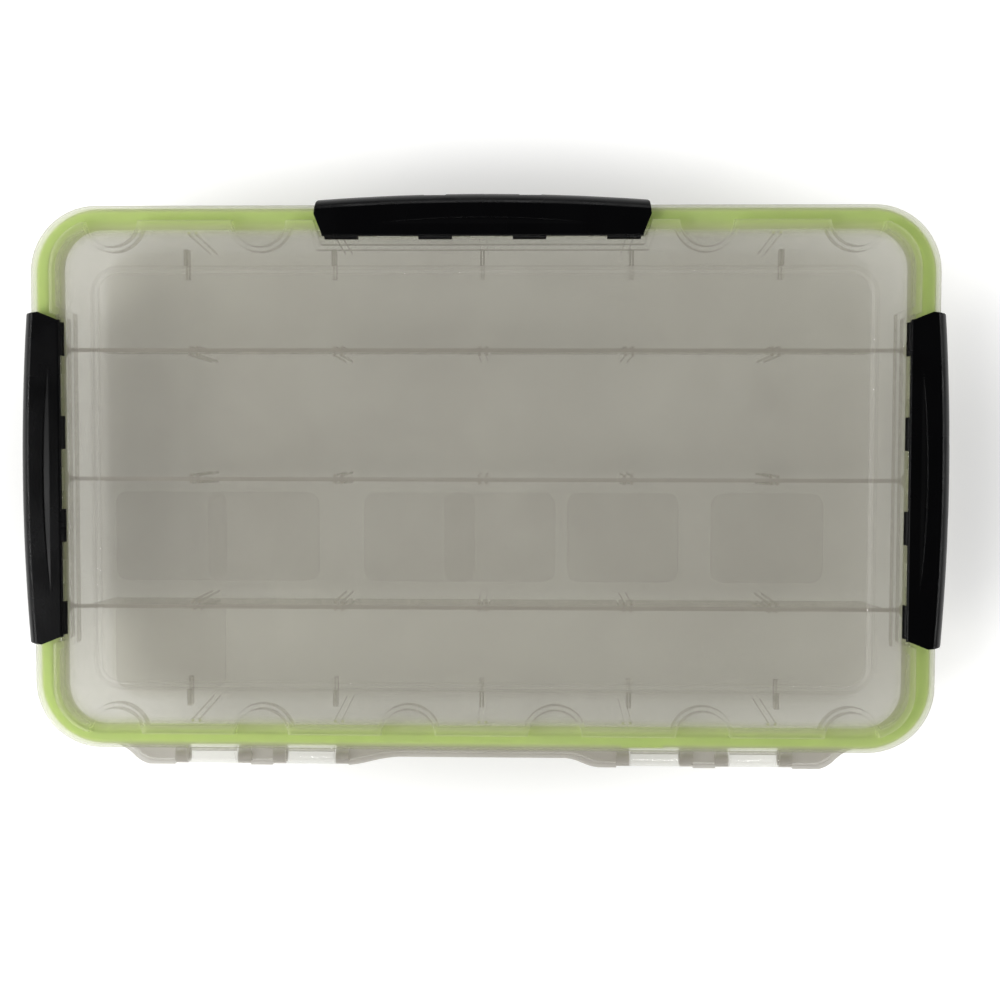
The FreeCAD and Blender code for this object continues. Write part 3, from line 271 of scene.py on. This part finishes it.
def clear_polypropylene(name, own, milk, rough, tint, gloss_share=1.0, top_level=None, round_off=None):
    """Moulded clear polypropylene: see-through but milky, with a painted pale line of light along edges and a soft
    gloss.

    The seal's lime light, scattered in the milk, is painted into the haze and the tint for a few millimetres on each
    side of it.
    """
    material, tree, output = new_material(name)
    coordinates = add_node(tree, "ShaderNodeTexCoord")
    place = coordinates.outputs["Object"]
    upright = add_node(tree, "ShaderNodeSeparateXYZ", Vector=coordinates.outputs["Normal"]).outputs["Z"]
    normal = add_node(tree, "ShaderNodeNewGeometry").outputs["Normal"]
    edge = None
    if round_off:
        normal, edge = rounded_edges(tree, normal, round_off, own.painted_edge_light)
    near = seal_glow_mask(tree, place, own.glow_reach)
    haze = milk_share(tree, own, milk, place, upright, top_level, edge, near)
    # Beside the seal the haze and the tint turn lime, a painted glow of the seal's light.
    milk_tone = add_node(
        tree,
        "ShaderNodeMix",
        {"data_type": "RGBA"},
        i0=near,
        i6=(*own.milk_colour, 1),
        i7=(*own.glow_colour, 1),
    ).outputs[2]
    clear_tone = add_node(
        tree, "ShaderNodeMix", {"data_type": "RGBA"}, i0=near, i6=(*tint, 1), i7=(*own.glow_tint, 1)
    )
    clear = add_node(tree, "ShaderNodeBsdfTransparent", Color=clear_tone.outputs[2])
    dull = add_node(tree, "ShaderNodeBsdfDiffuse", Color=milk_tone, Normal=normal)
    through = add_node(tree, "ShaderNodeBsdfTranslucent", Color=milk_tone, Normal=normal)
    milky = add_node(tree, "ShaderNodeMixShader", i0=0.45, i1=dull.outputs[0], i2=through.outputs[0])
    body = add_node(tree, "ShaderNodeMixShader", i0=haze, i1=clear.outputs[0], i2=milky.outputs[0])
    # Fine scuffs break the gloss up.
    scuff = add_node(tree, "ShaderNodeTexNoise", Vector=place, Scale=per_metre(4), Detail=1.0)
    roughness = add_node(
        tree,
        "ShaderNodeMapRange",
        Value=scuff.outputs["Fac"],
        From_Min=0.35,
        From_Max=0.65,
        To_Min=rough * 0.9,
        To_Max=rough * 1.12,
    )
    gloss = add_node(tree, "ShaderNodeBsdfAnisotropic", Roughness=roughness.outputs[0], Normal=normal)
    share = open_gloss(tree, normal, upright, gloss_share)
    surface = add_node(tree, "ShaderNodeMixShader", i0=share, i1=body.outputs[0], i2=gloss.outputs[0])
    tree.links.new(surface.outputs[0], output.inputs["Surface"])
    return material


def moulded_elastomer(colour):
    """Moulded thermoplastic elastomer: an even lime with a soft, dry sheen."""
    material, tree, output = new_material("lime_moulded_elastomer")
    place = add_node(tree, "ShaderNodeTexCoord").outputs["Object"]
    mottle = add_node(tree, "ShaderNodeTexNoise", Vector=place, Scale=per_metre(18), Detail=3.0)
    tone = add_node(
        tree,
        "ShaderNodeMix",
        {"data_type": "RGBA"},
        i0=mottle.outputs["Fac"],
        i6=(*[c * 0.9 for c in colour], 1),
        i7=(*[min(1.0, c * 1.08) for c in colour], 1),
    )
    grain = add_node(tree, "ShaderNodeTexNoise", Vector=place, Scale=per_metre(0.6), Detail=2.0)
    bump = add_node(tree, "ShaderNodeBump", Height=grain.outputs["Fac"], Strength=0.15, Distance=0.1 * MM)
    skin = add_node(
        tree,
        "ShaderNodeBsdfPrincipled",
        Base_Color=tone.outputs[2],
        Roughness=0.55,
        IOR=1.5,
        Subsurface_Weight=0.35,
        Subsurface_Radius=(1.8 * MM, 2.0 * MM, 0.8 * MM),
        Subsurface_Scale=1.0,
        Normal=bump.outputs["Normal"],
    )
    tree.links.new(skin.outputs[0], output.inputs["Surface"])
    return material


def black_polypropylene(colour, grain_size):
    """Black moulded polypropylene: satin with a fine spark-eroded grain, polished a little along its edges."""
    material, tree, output = new_material("black_moulded_polypropylene")
    place = add_node(tree, "ShaderNodeTexCoord").outputs["Object"]
    # The real grain is about 0.15 mm, too fine to show, so it is drawn coarser.
    grain = add_node(tree, "ShaderNodeTexVoronoi", Vector=place, Scale=1 / grain_size, Randomness=1.0)
    wide = add_node(tree, "ShaderNodeTexNoise", Vector=place, Scale=per_metre(22), Detail=3.0)
    rough = add_node(
        tree,
        "ShaderNodeMapRange",
        Value=wide.outputs["Fac"],
        From_Min=0.35,
        From_Max=0.65,
        To_Min=0.22,
        To_Max=0.32,
    )
    bump = add_node(
        tree, "ShaderNodeBump", Height=grain.outputs["Distance"], Strength=0.10, Distance=0.12 * MM
    )
    rounded = add_node(tree, "ShaderNodeBevel", {"samples": 6}, Radius=0.5 * MM, Normal=bump.outputs["Normal"])
    skin = add_node(
        tree,
        "ShaderNodeBsdfPrincipled",
        Base_Color=(*colour, 1),
        Roughness=rough.outputs[0],
        IOR=POLYPROPYLENE_IOR,
        Specular_IOR_Level=0.1,
        Normal=rounded.outputs[0],
    )
    tree.links.new(skin.outputs[0], output.inputs["Surface"])
    return material


def looked_at(tree):
    """One where a point is seen directly, in a gloss or through glass, and zero where it only lights things."""
    path = add_node(tree, "ShaderNodeLightPath")
    mirrored = add_node(
        tree,
        "ShaderNodeMath",
        {"operation": "MAXIMUM"},
        i0=path.outputs["Is Glossy Ray"],
        i1=path.outputs["Is Transmission Ray"],
    )
    either = add_node(
        tree, "ShaderNodeMath", {"operation": "MAXIMUM"}, i0=path.outputs["Is Camera Ray"], i1=mirrored.outputs[0]
    )
    return either.outputs[0]


def pale_floor(colour, backlight):
    """A painted studio floor that reads as white and keeps the object's soft shadow."""
    material, tree, output = new_material("pale_studio_floor")
    place = add_node(tree, "ShaderNodeTexCoord").outputs["Object"]
    mottle = add_node(tree, "ShaderNodeTexNoise", Vector=place, Scale=per_metre(300), Detail=2.0)
    tone = add_node(
        tree,
        "ShaderNodeMix",
        {"data_type": "RGBA"},
        i0=mottle.outputs["Fac"],
        i6=(*[c * 0.98 for c in colour], 1),
        i7=(*colour, 1),
    )
    paint = add_node(tree, "ShaderNodeBsdfDiffuse", Color=tone.outputs[2])
    # Lifts the floor to white where it is looked at, most of all far from the lamps' reach.
    scaled = add_node(tree, "ShaderNodeVectorMath", {"operation": "MULTIPLY"}, i0=place, i1=LIFT_STRETCH)
    away = add_node(tree, "ShaderNodeVectorMath", {"operation": "LENGTH"}, i0=scaled.outputs[0])
    amount = add_node(
        tree,
        "ShaderNodeMapRange",
        {"interpolation_type": "SMOOTHSTEP"},
        Value=away.outputs["Value"],
        From_Min=LIFT_START,
        From_Max=LIFT_FULL,
        To_Min=backlight,
        To_Max=1.0,
    )
    lift = add_node(tree, "ShaderNodeMath", {"operation": "MULTIPLY"}, i0=looked_at(tree), i1=amount.outputs[0])
    white = add_node(tree, "ShaderNodeEmission", Color=WHITE, Strength=lift.outputs[0])
    top = add_node(tree, "ShaderNodeAddShader", i0=paint.outputs[0], i1=white.outputs[0])
    # Seen from below, the floor is clear, so that it doesn't hide the object's underside.
    below = add_node(tree, "ShaderNodeNewGeometry").outputs["Backfacing"]
    clear = add_node(tree, "ShaderNodeBsdfTransparent", Color=WHITE)
    surface = add_node(tree, "ShaderNodeMixShader", i0=below, i1=top.outputs[0], i2=clear.outputs[0])
    tree.links.new(surface.outputs[0], output.inputs["Surface"])
    return material


# Settings


class TrayPlasticSettings(PropertyGroup):
    """The see-through plastic of the tray, the lid and the loose dividers"""

    tint: FloatVectorProperty(
        name="Tint", description="What one skin lets through", subtype="COLOR", default=linear("#fafaf8")
    )
    milk_colour: FloatVectorProperty(
        name="Milk", description="Colour of the haze in the plastic", subtype="COLOR", default=linear("#c3beb7")
    )
    milk: FloatProperty(
        name="Milk share", description="Haze of one skin seen square on", subtype="FACTOR", default=0.19
    )
    divider_milk: FloatProperty(
        name="Divider milk", description="Haze of a thin divider's skin", subtype="FACTOR", default=0.05
    )
    milk_edge: FloatProperty(
        name="Wall milk share", description="Haze of one skin seen along the wall", subtype="FACTOR", default=0.14
    )
    edge_round: FloatProperty(
        name="Edge round", description="Radius that breaks the lid's edges", unit="LENGTH", default=0.7 * MM
    )
    shadow_share: FloatProperty(
        name="Milk in shadow", description="Share of the haze that takes light away", subtype="FACTOR", default=0.6
    )
    milk_curve: FloatProperty(
        name="Milk curve", description="How late the haze grows towards the wall's edge", default=1.8
    )
    # Extra haze along the lid's edges that paints a pale line of gathered light.
    painted_edge_light: FloatProperty(
        name="Edge milk", description="More haze along the lid's edges", subtype="FACTOR", default=0.4
    )
    top_milk: FloatProperty(
        name="Top milk", description="More haze on the tops of walls", subtype="FACTOR", default=0.55
    )
    top_level: FloatProperty(
        name="Top level", description="Height above which a top counts as a wall's", unit="LENGTH", default=12 * MM
    )
    # The glow settings paint the seal's lime light, scattered in the milk, into the plastic beside the seal.
    glow_colour: FloatVectorProperty(
        name="Glow", description="Haze beside the seal", subtype="COLOR", default=linear("#eaf7b8")
    )
    glow_tint: FloatVectorProperty(
        name="Glow tint", description="What is let through beside the seal", subtype="COLOR", default=linear("#fbfcf4")
    )
    glow_milk: FloatProperty(
        name="Glow milk", description="More haze beside the seal", subtype="FACTOR", default=0.34
    )
    glow_reach: FloatProperty(
        name="Glow reach", description="How far the seal's colour spreads", unit="LENGTH", default=11 * MM
    )
    rough: FloatProperty(
        name="Roughness", description="Roughness of the moulded skin", subtype="FACTOR", default=0.12
    )


class SealSettings(PropertyGroup):
    """The seal's elastomer"""

    colour: FloatVectorProperty(
        name="Colour", description="Colour of the seal", subtype="COLOR", default=linear("#e2fb94")
    )


class LatchSettings(PropertyGroup):
    """The latches' black plastic"""

    colour: FloatVectorProperty(
        name="Colour", description="Colour of the latches", subtype="COLOR", default=linear("#060607")
    )
    grain: FloatProperty(
        name="Grain", description="Width of one grain of the texture", unit="LENGTH", default=0.5 * MM
    )


class StageSettings(PropertyGroup):
    """The floor, the lamps, the even light and the camera"""

    floor_colour: FloatVectorProperty(
        name="Floor", description="Colour of the floor", subtype="COLOR", default=linear("#dededc")
    )
    backlight: FloatProperty(
        name="Backlight", description="How far the floor is lifted to white where it is seen", default=0.28
    )
    floor_size: FloatProperty(name="Floor size", description="Side of the floor", unit="LENGTH", default=60.0)
    camera_place: FloatVectorProperty(
        name="Camera place",
        description="Where the camera stands",
        subtype="TRANSLATION",
        unit="LENGTH",
        default=(-17.94 * MM, -12.63 * MM, 530.0 * MM),
    )
    camera_turn: FloatVectorProperty(
        name="Camera turn",
        description="How the camera is turned from straight down",
        subtype="EULER",
        unit="ROTATION",
        default=(math.radians(-2.418), math.radians(1.295), math.radians(-179.865)),
    )
    focal_length: FloatProperty(
        name="Focal length", description="Focal length in millimetres on a 36 mm sensor", default=44.32
    )
    lamp_strength: FloatProperty(name="Lamps", description="Strength of the soft boxes", default=1.0)
    world_strength: FloatProperty(name="Sky", description="Strength of the even light", default=0.42)
    overhead: FloatProperty(
        name="Overhead", description="Share of the even light that comes from straight above", default=0.12
    )


# Operators


class TRAY_OT_clear_shells(Operator):
    """Gives the tray, the lid and the loose dividers their see-through plastic"""

    bl_idname = "tackle_tray.clear_shells"
    bl_label = "Finish Clear Shells"

    def execute(self, context):
        own = context.scene.tray_plastic
        tint = tuple(own.tint)
        tray = clear_polypropylene(
            "clear_moulded_polypropylene_tray", own, own.milk, own.rough * 1.6, tint, 0.4, top_level=own.top_level
        )
        lid = clear_polypropylene(
            "clear_moulded_polypropylene_lid", own, own.milk, own.rough, tint, round_off=own.edge_round
        )
        thin = clear_polypropylene(
            "clear_moulded_polypropylene_divider", own, own.divider_milk, own.rough * 1.6, (1.0, 1.0, 1.0), 0.2
        )
        wear_material("tray", tray)
        wear_material("lid", lid)
        for name in DIVIDERS:
            wear_material(name, thin)
        return {"FINISHED"}


class TRAY_OT_seal(Operator):
    """Gives the seal its lime elastomer"""

    bl_idname = "tackle_tray.seal"
    bl_label = "Finish Seal"

    def execute(self, context):
        wear_material("gasket", moulded_elastomer(tuple(context.scene.tray_seal.colour)))
        return {"FINISHED"}


class TRAY_OT_latches(Operator):
    """Gives the three latches their black satin plastic"""

    bl_idname = "tackle_tray.latches"
    bl_label = "Finish Latches"

    def execute(self, context):
        own = context.scene.tray_latch
        material = black_polypropylene(tuple(own.colour), own.grain)
        for name in LATCHES:
            wear_material(name, material)
        return {"FINISHED"}


def soft_box(name, place, target, width, height, power):
    """A rectangular lamp that faces a point."""
    lamp = bpy.data.lights.new(name, "AREA")
    lamp.shape = "RECTANGLE"
    lamp.size = width
    lamp.size_y = height
    lamp.energy = power
    thing = bpy.data.objects.new(name, lamp)
    thing.location = place
    thing.rotation_euler = (Vector(target) - Vector(place)).to_track_quat("-Z", "Y").to_euler()
    bpy.context.collection.objects.link(thing)


class TRAY_OT_stage(Operator):
    """Builds the floor, the lamps, the even light and the camera"""

    bl_idname = "tackle_tray.stage"
    bl_label = "Build Stage"

    def execute(self, context):
        own = context.scene.tray_stage
        half = own.floor_size / 2
        mesh = bpy.data.meshes.new("floor")
        mesh.from_pydata(
            [(-half, -half, 0), (half, -half, 0), (half, half, 0), (-half, half, 0)], [], [(0, 1, 2, 3)]
        )
        floor = bpy.data.objects.new("floor", mesh)
        floor.location.z = cad_box[0][2] - FLOOR_GAP
        floor.data.materials.append(pale_floor(tuple(own.floor_colour), own.backlight))
        context.collection.objects.link(floor)
        lamps = own.lamp_strength
        for name, place, width, height, power in LAMPS:
            soft_box(name, place, LAMP_TARGET, width, height, power * lamps)
        world = context.scene.world or bpy.data.worlds.new("World")
        context.scene.world = world
        world.use_nodes = True
        tree = world.node_tree
        tree.nodes.clear()
        output = add_node(tree, "ShaderNodeOutputWorld")
        # Dark overhead and light towards the horizon, like a room with white walls.
        direction = add_node(tree, "ShaderNodeTexCoord").outputs["Generated"]
        height = add_node(tree, "ShaderNodeSeparateXYZ", Vector=direction).outputs["Z"]
        level = add_node(
            tree,
            "ShaderNodeMapRange",
            {"interpolation_type": "SMOOTHSTEP"},
            Value=height,
            From_Min=0.55,
            From_Max=0.97,
            To_Min=own.world_strength,
            To_Max=own.world_strength * own.overhead,
        )
        even = add_node(
            tree, "ShaderNodeBackground", Color=(*linear("#fbfbfc"), 1), Strength=level.outputs[0]
        )
        white = add_node(tree, "ShaderNodeBackground", Color=WHITE, Strength=1.0)
        path = add_node(tree, "ShaderNodeLightPath")
        sky = add_node(
            tree, "ShaderNodeMixShader", i0=path.outputs["Is Camera Ray"], i1=even.outputs[0], i2=white.outputs[0]
        )
        tree.links.new(sky.outputs[0], output.inputs["Surface"])
        camera = bpy.data.objects.new("photo_camera", bpy.data.cameras.new("photo_camera"))
        camera.location = own.camera_place
        camera.rotation_euler = Euler(own.camera_turn)
        camera.data.sensor_width = 36.0
        camera.data.lens = own.focal_length
        camera.data.clip_start = 0.01
        context.collection.objects.link(camera)
        context.scene.camera = camera
        context.scene.view_settings.view_transform = "Standard"
        # A ray crosses many thin skins on its way through the closed tray.
        context.scene.cycles.transparent_max_bounces = 32
        context.scene.cycles.max_bounces = 5
        context.scene.cycles.diffuse_bounces = 3
        return {"FINISHED"}


class TRAY_PT_panel(Panel):
    """Lists the operators with their settings"""

    bl_idname = "TRAY_PT_panel"
    bl_label = "Tackle Tray"
    bl_space_type = "VIEW_3D"
    bl_region_type = "UI"
    bl_category = "Tackle Tray"

    def draw(self, context):
        for operator, group in STEPS:
            box = self.layout.box()
            settings = getattr(context.scene, group)
            for name in settings.__annotations__:
                box.prop(settings, name)
            box.operator(operator.bl_idname)


STEPS = (
    (TRAY_OT_clear_shells, "tray_plastic"),
    (TRAY_OT_seal, "tray_seal"),
    (TRAY_OT_latches, "tray_latch"),
    (TRAY_OT_stage, "tray_stage"),
)
GROUPS = {
    "tray_plastic": TrayPlasticSettings,
    "tray_seal": SealSettings,
    "tray_latch": LatchSettings,
    "tray_stage": StageSettings,
}
CLASSES = (*GROUPS.values(), *[step[0] for step in STEPS], TRAY_PT_panel)


def register():
    for cls in CLASSES:
        bpy.utils.register_class(cls)
    for name, cls in GROUPS.items():
        setattr(bpy.types.Scene, name, PointerProperty(type=cls))


def unregister():
    for name in GROUPS:
        delattr(bpy.types.Scene, name)
    for cls in reversed(CLASSES):
        bpy.utils.unregister_class(cls)


def main():
    register()
    bpy.ops.tackle_tray.clear_shells()
    bpy.ops.tackle_tray.seal()
    bpy.ops.tackle_tray.latches()
    bpy.ops.tackle_tray.stage()


if __name__ == "__main__":
    main()
